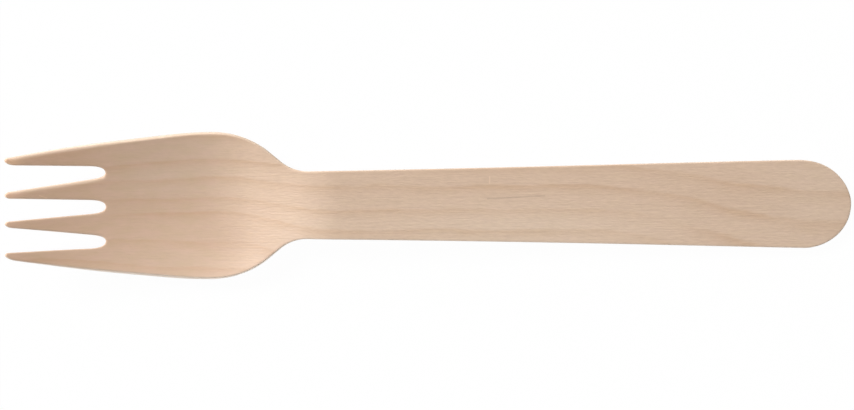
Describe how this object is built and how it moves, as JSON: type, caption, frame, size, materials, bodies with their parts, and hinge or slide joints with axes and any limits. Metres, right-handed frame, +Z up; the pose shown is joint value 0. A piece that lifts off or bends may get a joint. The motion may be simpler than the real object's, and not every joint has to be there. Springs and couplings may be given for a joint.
{
  "type": "wooden fork",
  "caption": "Single-use wooden fork with four tapered tines, a shallow pressed bowl and a flat round-ended handle.",
  "frame": {"origin": "on the table under the centre of the fork's bounding box, the fork lying at rest hollow side up", "axes": "+X towards the round end of the handle, tines towards -X, +Z up"},
  "size_m": [0.16, 0.028, 0.0114],
  "materials": {
    "birch_veneer": "pale bare birch veneer, smooth hot-pressed faces with fine lengthwise grain, satin"
  },
  "bodies": {
    "root": {"fork": "birch_veneer"}
  },
  "joints": []
}
